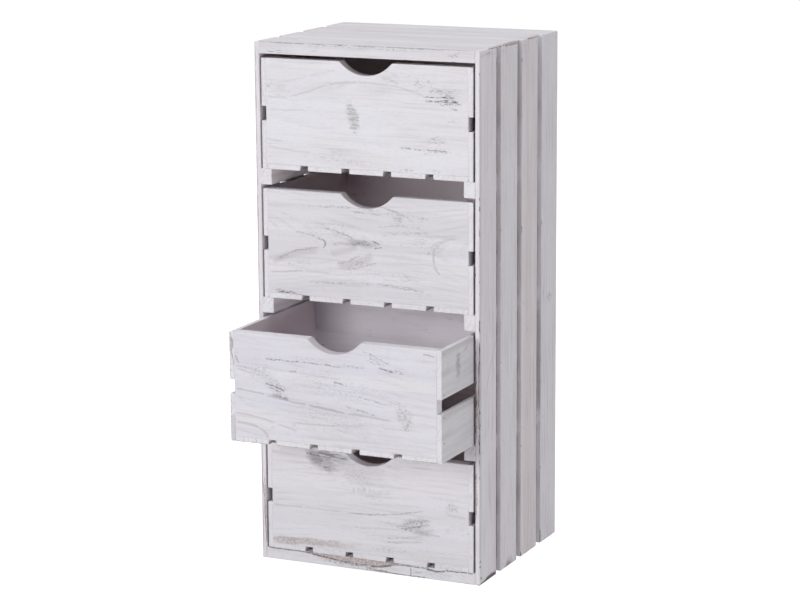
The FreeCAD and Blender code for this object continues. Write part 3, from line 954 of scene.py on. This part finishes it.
def finish_carcass():
    finish_side_walls()
    finish_board(
        "top_board", X, Y, 21.3, grain=0.25, tint=TOP_TINT, inside=WALL_INSIDE,
        marks=TOP_MARKS, edge_marks=TOP_FRONT_MARKS)
    finish_board("bottom_board", X, Z, 24.9, grain=0.2, marks=BOTTOM_MARKS, wear=-0.15)
    for side, seed, face in (("left", 31.0, 1), ("right", 35.0, -1)):
        for number in range(1, 4):
            finish_board(
                f"{side}_runner_{number}", Y, Z, seed + number, grain=0.3, wear=-0.25, face=face,
                tint=Tint(RUNNER_TONES_AND_SHADE[number], 0.85), tinted_ends=False)
    finish_board("back_panel", Z, X, 41.0, grain=0.25, rub=0.1, tint=BACK_TINT, inside=WALL_INSIDE)


# Places to the right of the front's middle (x), heights over the drawer's underside (y).
DRAWER_1_MARKS = (
    vein(-165, 110, -126, 110, -1, 2.2, 0.1, 0.26),
    vein(-128, 110, -60, 132, -1, 2.4, 0.1, 0.34),
    vein(-62, 131, -10, 137, 2, 2.6, 0.1, 0.36),
    vein(-14, 137, 42, 135, 1, 2.4, 0.1, 0.32),
    vein(36, 136, 96, 122, 1, 2.2, 0.2, 0.26),
    vein(-161, 129, -93, 143, -2, 3, 0.4, 0.16),
    vein(-93, 143, -46, 154, 0, 3, 0.4, 0.18),
    Line(-163, 125, -157, 125.5, 0, 1.9, 0.22, 0.28),
    vein(-162, 90, -96, 92, 0, 2.4, 0.3, 0.2),
    vein(-167, 47, -136, 43, -1, 2.4, 0.2, 0.26),
    vein(-168, 35, -90, 29, -1, 2.4, 0.3, 0.22),
    *strokes(0.4, (-26.5, 102.5, 5), (-24, 98, 7), (-20.5, 93.2, 7), (-19, 89.6, 9), (-17, 85, 7),
             (-18.5, 80.9, 9.5), (-16.5, 73.2, 8.5), (-20, 68.8, 7), (-18, 63, 3)),
    Rub(-21, 85, 30, 11, -72, 0.34, 0.05, 0.5, 0.6, 0.8),
    Rub(-22, 96, 12, 9, -60, 0.3, 0.05, 0.4, 0.4),
    Line(90, 121, 145, 120.5, 0.4, 2, 0.5, 0.85),
    Line(94, 114.5, 151, 116.5, 0, 2.4, 0.46, 0.95),
    Line(114, 113.5, 150, 115, 0, 2.2, 0.5, 0.9),
    Line(134, 110, 156, 113, 0, 2, 0.5, 0.8),
    Line(134, 105.5, 148, 104.5, 0, 1.8, 0.52, 0.6),
    Rub(128, 114, 32, 10, -3, 0.04, 0.07, 0.6, 0.3),
    Rub(126, 128, 34, 11, -2, 0.02, 0.06, 0.42),
    Rub(92, 140, 28, 13, -6, 0, 0.04, 0.42),
    Rub(40, 143, 20, 10, -12, 0, 0.04, 0.32),
    Line(52, 44.5, 134, 42, -0.6, 2.2, 0.53, 0.6),
    Line(92, 43.5, 133, 42, 0, 2, 0.5, 0.65),
    Rub(112, 42, 34, 8, 0, 0, 0.03, 0.5),
    Rub(118, 57, 24, 10, 0, 0, 0.04, 0.42),
    Rub(144, 87, 18, 7, 10, 0, 0, 0.4),
    Rub(68, 11, 26, 4, 0, 0.05, 0.03, 0.5),
    Rub(112, 12, 14, 4, 0, 0.05, 0.02, 0.4),
    Rub(-40, 20, 110, 14, -6, 0, -0.01, 0.28),
)
DRAWER_2_MARKS = (
    Line(-120, 104, -72, 94, 3, 2.4, 0.5, 0.38),
    Line(-75, 97, -72, 82, 5.5, 2.2, 0.36, 0.6),
    Line(-73, 83, -152, 58, -6, 2.7, 0.52, 0.47),
    vein(-78, 78, -160, 55, -5, 8, 0.1, 0.3),
    Line(-71, 113, -17, 98, 2.5, 2.3, 0.5, 0.46),
    Rub(-10, 94.5, 25, 8.5, 2, 0.5, 0.03, 0.75, 0, 0.9),
    Rub(-6, 96, 10, 14, 0, 0.15, 0.04, 0.45),
    Rub(10, 95, 20, 7, 4, 0.2, 0.03, 0.55, 0.4),
    Rub(-28, 91.5, 26, 4.5, 0, 0.3, 0.02, 0.55, 0, 0.8),
    Rub(-50, 90, 18, 4, 0, 0.1, 0.005, 0.51),
    Line(6, 99, 22, 94, 1, 1.8, 0.48, 0.75),
    Line(12, 88, 26, 92, -1, 1.8, 0.48, 0.75),
    vein(-62, 76, -14, 90, -3, 7, 0.1, 0.26),
    Line(-50, 61.5, -7, 80, -4, 2.7, 0.48, 0.38),
    Line(-34, 52, 18, 67, -1, 2.4, 0.52, 0.4),
    vein(-50, 56, 12, 80, -5, 9, 0.1, 0.3),
    Rub(-14, 62, 40, 12, 22, 0, 0.005, 0.4),
    Rub(-110, 58, 44, 9, 8, 0, 0.005, 0.34),
    vein(-164, 40, -103, 46.5, -1, 2.2, 0.15, 0.42),
    vein(-105, 46.5, -60, 44, 1, 2.2, 0.25, 0.3),
    Line(-100, 144.7, -20, 146.8, 0.5, 2.4, 0.54, 0.47),
    Line(-22, 146.5, 22, 144, 0.5, 2.2, 0.54, 0.38),
    Line(-24, 141, 28, 139, 0, 2.4, 0.52, 0.38),
    Line(20, 151, 66, 138, 2, 2.2, 0.5, 0.47),
    Line(58, 141, 78, 133, 0, 2, 0.52, 0.38),
    Line(29, 141, 62, 141, 1, 2, 0.54, 0.38),
    Rub(52, 134, 13, 8, -18, 0.18, 0.03, 0.5),
    Rub(90, 138, 26, 6, -4, 0, 0.025, 0.45),
    Line(17, 121, 90, 123.5, 2, 2.4, 0.54, 0.36),
    Line(24, 108.5, 106, 117, 1.4, 2.4, 0.54, 0.34),
    Rub(60, 114, 50, 9, 6, 0, -0.015, 0.28),
    vein(147, 113, 111, 97, -3, 2.6, 0.15, 0.3),
    vein(111.5, 98, 110, 69, -2, 2.8, 0.1, 0.42),
    vein(110, 70, 119, 56, -1, 2.6, 0.1, 0.4),
    vein(150, 117, 92, 112, 1, 2.4, 0.25, 0.24),
    Line(-101, 30, 15, 34, -0.6, 3.2, 0.5, 0.36),
    Line(12, 34.5, 97, 28, 0.6, 3.2, 0.5, 0.38),
    Line(24, 41, 94, 45.5, 0, 2.2, 0.55, 0.34),
    Rub(66, 49, 12, 4, -10, 0.15, 0.045, 0.31),
    Rub(-40, 32, 74, 7, 1, 0.26, -0.005, 0.34, 0.6, 0.8),
    Rub(-132, 10.5, 28, 4.5, -6, 0.1, 0.1, 0.85),
    Rub(-104, 125, 20, 4, 0, 0, -0.005, 0.34),
    Rub(100, 96, 60, 26, 0, 0, 0, 0.28),
    Rub(-60, 110, 90, 26, 0, 0, 0, 0.24),
    Rub(20, 50, 110, 16, 2, 0, -0.015, 0.25),
)
DRAWER_3_MARKS = (
    Line(-170, 150, -166, 132, 1, 2.4, 0.46, 0.35),
    Line(-163, 132, -156, 120, 0, 2.4, 0.47, 0.43),
    Line(-114, 131.3, -52, 131.2, -0.6, 1.7, 0.5, 0.74),
    Line(-56, 131, 16, 128.4, 0.4, 1.7, 0.5, 0.68),
    Line(14, 133.4, 52, 130.4, -0.6, 2, 0.54, 0.57),
    Line(46, 157.5, 92, 139, 0, 2, 0.54, 0.57),
    Line(54, 150, 84, 137, 0, 1.6, 0.55, 0.43),
    Line(71, 134, 97, 129, -0.5, 2.6, 0.44, 0.75),
    Line(84, 131, 116, 127, 0, 1.9, 0.52, 0.62),
    Rub(108, 130, 26, 5, -4, 0, 0.025, 0.62),
    Rub(66, 143, 26, 9, -24, 0, 0.025, 0.51),
    Rub(-40, 135, 90, 7, -1, 0, 0.005, 0.3),
    Line(-114, 93.5, -84, 86.2, 0.2, 1.7, 0.4, 0.75),
    Line(-98, 89.2, -82, 85, 0, 1.5, 0.36, 0.75),
    Line(-108, 88, -92, 84, 0, 1.5, 0.46, 0.5),
    Line(-103, 77.5, -73, 72, 0, 2.4, 0.46, 0.71),
    Rub(-96, 90, 30, 13, -32, 0.12, 0.025, 0.66, 0.4, 0.5),
    Rub(-92, 76, 24, 7, -12, 0, 0.025, 0.56),
    vein(-164, 116, -108, 106, 2, 2, 0.25, 0.34),
    vein(-162, 112, -110, 104, -1, 2.4, 0.25, 0.3),
    vein(-165, 80.5, -112, 76, 1.2, 2.2, 0.15, 0.46),
    vein(-114, 76, -42, 66.8, -0.4, 2.2, 0.15, 0.5),
    vein(-44, 67, 20, 60, 0.3, 2.2, 0.15, 0.55),
    vein(18, 60, 94, 55, 1.6, 2.2, 0.22, 0.42),
    Line(17, 71.5, 71, 60, 0.6, 2, 0.54, 0.57),
    Line(35, 88, 90, 78, 0.6, 2, 0.55, 0.52),
    Line(-1, 105.8, 17, 103.6, 0, 2.2, 0.44, 0.62),
    Line(-74, 115, -60, 116.5, 0, 1.9, 0.47, 0.43),
    Line(-40, 96, 60, 92, 0, 1.9, 0.55, 0.33),
    Rub(0, 48, 150, 40, -6, 0.18, -0.03, 0.34),
    Rub(113, 62, 24, 16, -70, 0.1, 0.04, 0.42, 0, 0.5),
    Rub(115, 48, 18, 10, 0, 0.04, 0.05, 0.42),
    Rub(96, 82, 20, 10, 0, 0, 0.005, 0.4),
    Line(142, 160, 162, 157, 1, 2, 0.4, 0.43),
    vein(-163, 29.5, -122, 24, 2, 2.8, 0.1, 0.42),
    vein(-124, 24.5, -109, 10, 2, 3, 0.1, 0.42),
    vein(-168, 44, -93, 34, 2, 2.4, 0.15, 0.36),
    vein(-94, 34, -60, 25, 0, 2.2, 0.2, 0.3),
    vein(-75, 38, 60, 46, -2, 2.6, 0.3, 0.24),
    Rub(-67, 34.6, 8, 3, 0, 0.2, 0.01, 0.35),
    Rub(-101, 27, 6, 3, 0, 0.2, 0.01, 0.35),
    Rub(0, 100, 140, 36, -4, 0, 0, 0.24),
    Rub(-120, 110, 46, 26, -20, 0, 0.02, 0.34),
)
DRAWER_4_MARKS = (
    # These soft grey rubs along the top left are scuffs, deepened as painted shadow of the open drawer
    # above.
    Rub(-88, 150, 26, 14, -50, 0.62, 0.04, 0.78, 0.6, 0.8),
    Rub(-70, 138, 18, 9, -34, 0.5, 0.05, 0.75, 0.6, 0.8),
    Rub(-62, 157, 40, 7, -2, 0.35, 0.06, 0.7, 0.8, 0.6),
    Rub(-50, 152, 40, 12, -10, 0.55, 0.03, 0.5, 0.4, 0.9),
    Rub(-16, 138, 76, 30, -6, 0.42, 0.01, 0.31),
    Rub(-72, 148, 36, 16, -24, 0.7, 0, 0.56),
    Line(-108, 157, -60, 153, 0, 2.2, 0.44, 0.8),
    Line(-92, 152, -44, 149, 0, 2, 0.48, 0.6),
    Line(-58, 158, 10, 152, 0, 2, 0.5, 0.5),
    Rub(-20, 130, 66, 24, -8, 0, 0.05, 0.3),
    Rub(-4, 108, 58, 20, 0, 0, 0.05, 0.27),
    Line(12, 105.5, 35, 108.5, -0.6, 2.2, 0.55, 0.28),
    vein(-164, 70, -110, 71.5, -1, 2.2, 0.2, 0.36),
    vein(-112, 71, -44, 70, 0, 2, 0.3, 0.26),
    Line(-42, 70, 96, 88, -4.5, 2, 0.48, 0.41),
    Line(58, 53.5, 90, 63.5, 1, 1.9, 0.44, 0.8),
    Line(52, 60, 102, 72, 3, 2, 0.5, 0.6),
    Line(76, 56, 100, 51, 0, 3, 0.46, 0.55),
    Line(92, 52, 120, 50.6, 0, 2.4, 0.45, 0.27),
    Rub(76, 64, 34, 13, 14, 0.16, 0.06, 0.6, 0, 0.6),
    Rub(90, 54, 22, 8, 0, 0.55, 0.04, 0.46, 0.4, 0.9),
    Rub(34, 61, 34, 9, 0, 0, 0.025, 0.43),
    Line(-54, 46.5, 58, 53, 0.6, 2.3, 0.55, 0.28),
    Line(24, 37.5, 92, 48, -1, 2.4, 0.5, 0.33),
    Line(24, 31, 90, 39, -0.6, 2.4, 0.5, 0.34),
    Line(60, 42, 96, 43, 0, 2.2, 0.54, 0.23),
    Line(94, 109, 156, 109, 1, 2.7, 0.54, 0.21),
    Line(126, 86, 160, 83, 0, 2.7, 0.5, 0.23),
    Line(127, 95, 143, 97, 1, 2.2, 0.5, 0.27),
    Rub(136, 97, 16, 14, 0, 0.04, 0.06, 0.5),
    Line(77, 25, 144, 25, -0.6, 2.4, 0.55, 0.2),
    Rub(30, 19, 70, 7, -2, 0, 0.025, 0.4),
    Rub(-94, 96, 40, 16, -24, 0.14, -0.2, 0.22, 1),
    bare(-138, 14.6, 32, 6.6, 2, 0.72, 0.4),
    bare(-98, 16.4, 40, 7, 2, 0.64, 0.4),
    bare(-62, 17.6, 26, 6.4, 4, 0.5, 0.4),
    bare(-36, 17, 30, 6, 3, 0.26, 0.8),
    bare(100, 15, 80, 10, 0, 0.1, 1),
)

# The darker rim of each finger hole is painted shade in its recess.
FRONT_LOOKS = {
    1: dict(
        marks=DRAWER_1_MARKS,
        rings=Rings((0, 0.03, -0.09), 0, 0, 0.01, 0.05),
        tint=Tint(paint(222, 220, 226), 0.4), grain=0.14, outline=0.05, rim_tone=0.05,
    ),
    2: dict(
        marks=DRAWER_2_MARKS,
        rings=Rings((0.035, 0.008, -0.06), 0, 0.65, 0.0055, 0.02),
        tint=Tint(paint(216, 213, 219), 0.7), grain=0.20, outline=0.08, rim_tone=0.32,
    ),
    3: dict(
        marks=DRAWER_3_MARKS,
        rings=Rings((0, 0.16, -0.05), 0.11, 0, 0.011, 0.03),
        tint=Tint(paint(219, 216, 226), 0.7), grain=0.20, outline=0.14, rim_tone=0.38,
    ),
    4: dict(
        marks=DRAWER_4_MARKS,
        rings=Rings((0, 0.12, -0.05), -0.06, 0.4, 0.009, 0.03),
        tint=Tint(paint(222, 219, 225), 0.5), grain=0.18, outline=0.08, rim_tone=0.05,
    ),
}
# Painted shade inside the drawers' backs: all over in drawers 1 and 4, low on the board in drawers 2 and
# 3.
BACK_INSIDES = {
    1: Inside(0.8, CLOSED_DRAWER_SHADE),
    2: Inside(0.9, DRAWER_WARM_INSIDE, DRAWER_LOW_SHADE_LIGHT),
    3: Inside(0.7, DRAWER_COOL_INSIDE, DRAWER_LOW_SHADE_DARK),
    4: Inside(0.8, CLOSED_DRAWER_SHADE),
}
FRONT_INSIDE = Inside(0.8, DRAWER_BACK_INSIDE)
DRAWER_INSIDE = Inside(0.8, DRAWER_SIDE_INSIDE)
DRAWER_SIDE_TINT = Tint(paint(198, 194, 197), 0.85)
DRAWER_WEAR = -0.3

# Places back from the side's middle (x), heights over the plank's middle (y).
DRAWER_SIDE_MARKS = {
    "drawer_3_right_upper_side": (
        Rub(-84, 4, 12, 28, 4, 0.1, 0.14, 0.5),
        Rub(-80, 14, 8, 12, 0, 0.1, 0.1, 0.4),
        Rub(-58, 22, 14, 3, 24, 0.1, 0.1, 0.5),
    ),
}
# On a piece's front end: places across it (x), and out through the thickness (y).
END_MARKS = {
    "drawer_3_left_upper_side": (
        Line(38, 3.4, 2, 3.2, 0, 1.5, 0.3, 0.8),
        Line(30, 0.8, 10, -2.6, 0.5, 1.2, 0.3, 0.7),
        Line(20, 1.6, -4, 0.2, 0.6, 1.2, 0.3, 0.6),
        Line(2, 0.8, -16, -2.4, 1, 1.1, 0.36, 0.5),
        Line(6, 3.4, -38, 3.3, 0, 1.3, 0.2, 0.5),
        Rub(24, 1, 16, 3.6, 4, 0.5, 0.06, 0.5),
    ),
    "drawer_3_left_lower_side": (
        Line(38, 3.4, -38, 3.4, 0, 1.3, 0.2, 0.55),
        Rub(-18, 0, 24, 9, 0, 1, 0, 0.2, 0, 0.3),
        vein(-6, -3.2, -38, -3.2, 0, 1, 0.2, 0.4),
    ),
    "drawer_3_bottom_planks": (
        Line(-32, -3.5, 32, -3.5, 0, 1.2, 0.34, 0.5),
    ),
}

FINGER_WIDTH = 85 * MM
FINGER_DEPTH = 20 * MM
FINGER_RADIUS = (FINGER_WIDTH ** 2 / 4 + FINGER_DEPTH ** 2) / (2 * FINGER_DEPTH)
BOTTOM_PLANKS = 5
BOTTOM_PLANK_HALF = 28 * MM


def from_middle(marks, lift):
    """Marks given over a drawer's underside, carried over to its front board's middle."""
    moved = [mark._replace(y=mark.y - lift) for mark in marks]
    return [
        mark._replace(end_y=mark.end_y - lift) if isinstance(mark, Line) else mark
        for mark in moved
    ]


def finish_front(drawer, number, underside, seed):
    low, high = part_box(f"{drawer}_front")
    middle = (low.z + high.z) / 2
    arch = Arch((0, high.z - FINGER_DEPTH + FINGER_RADIUS - middle, 0), FINGER_RADIUS)
    looks = dict(FRONT_LOOKS[number])
    looks["marks"] = from_middle(looks["marks"], (middle - underside) / MM)
    finish_board(
        f"{drawer}_front", X, Z, seed, rub=0.2, wear=DRAWER_WEAR, inside=FRONT_INSIDE, arch=arch,
        **looks)


def finish_drawer_side(name, outward, seed):
    finish_board(
        name, Y, Z, seed, face=outward, grain=0.14, rub=0.1, wear=DRAWER_WEAR, inside=DRAWER_INSIDE,
        tint=DRAWER_SIDE_TINT, tinted_ends=False,
        marks=DRAWER_SIDE_MARKS.get(name, ()), end_marks=END_MARKS.get(name, ()))


def finish_bottom_planks(planks, full_width, seed):
    pitch = (full_width - 2 * BOTTOM_PLANK_HALF) / (BOTTOM_PLANKS - 1)
    finish_board(
        # The bottom planks' edges in the gaps between them take painted shade.
        planks, Y, X, seed, face=-1, grain=0.2, wear=DRAWER_WEAR, gap=0.8, inside=DRAWER_INSIDE,
        pitch=pitch, plank_half=BOTTOM_PLANK_HALF, end_marks=END_MARKS.get(planks, ()))


def finish_drawer(number):
    drawer = f"drawer_{number}"
    seed = 50 + 9.0 * number
    planks = f"{drawer}_bottom_planks"
    plank_low, plank_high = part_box(planks)
    finish_front(drawer, number, plank_low.z, seed)
    finish_board(
        f"{drawer}_back", X, Z, seed + 1, face=-1, grain=0.6, wear=DRAWER_WEAR,
        inside=BACK_INSIDES[number])
    for side, outward, side_seed in (("left", -1, seed + 3), ("right", 1, seed + 5)):
        for level in ("lower", "upper"):
            finish_drawer_side(f"{drawer}_{side}_{level}_side", outward, side_seed)
    finish_bottom_planks(planks, plank_high.x - plank_low.x, seed + 7)


def finish_nails():
    finish_piece("carcass_nails", nail_steel("painted_nails", paint(205, 200, 204), paint(180, 172, 176)))
    steel = nail_steel("drawer_nails", paint(138, 132, 136), paint(104, 94, 94))
    for number in range(1, 5):
        finish_piece(f"drawer_{number}_nails", steel)


# ---- The scene ----

bpy.context.scene.view_settings.view_transform = "Standard"
make_camera()
make_lamps()
light_the_world()
make_floor()
finish_carcass()
for drawer_number in range(1, 5):
    finish_drawer(drawer_number)
finish_nails()
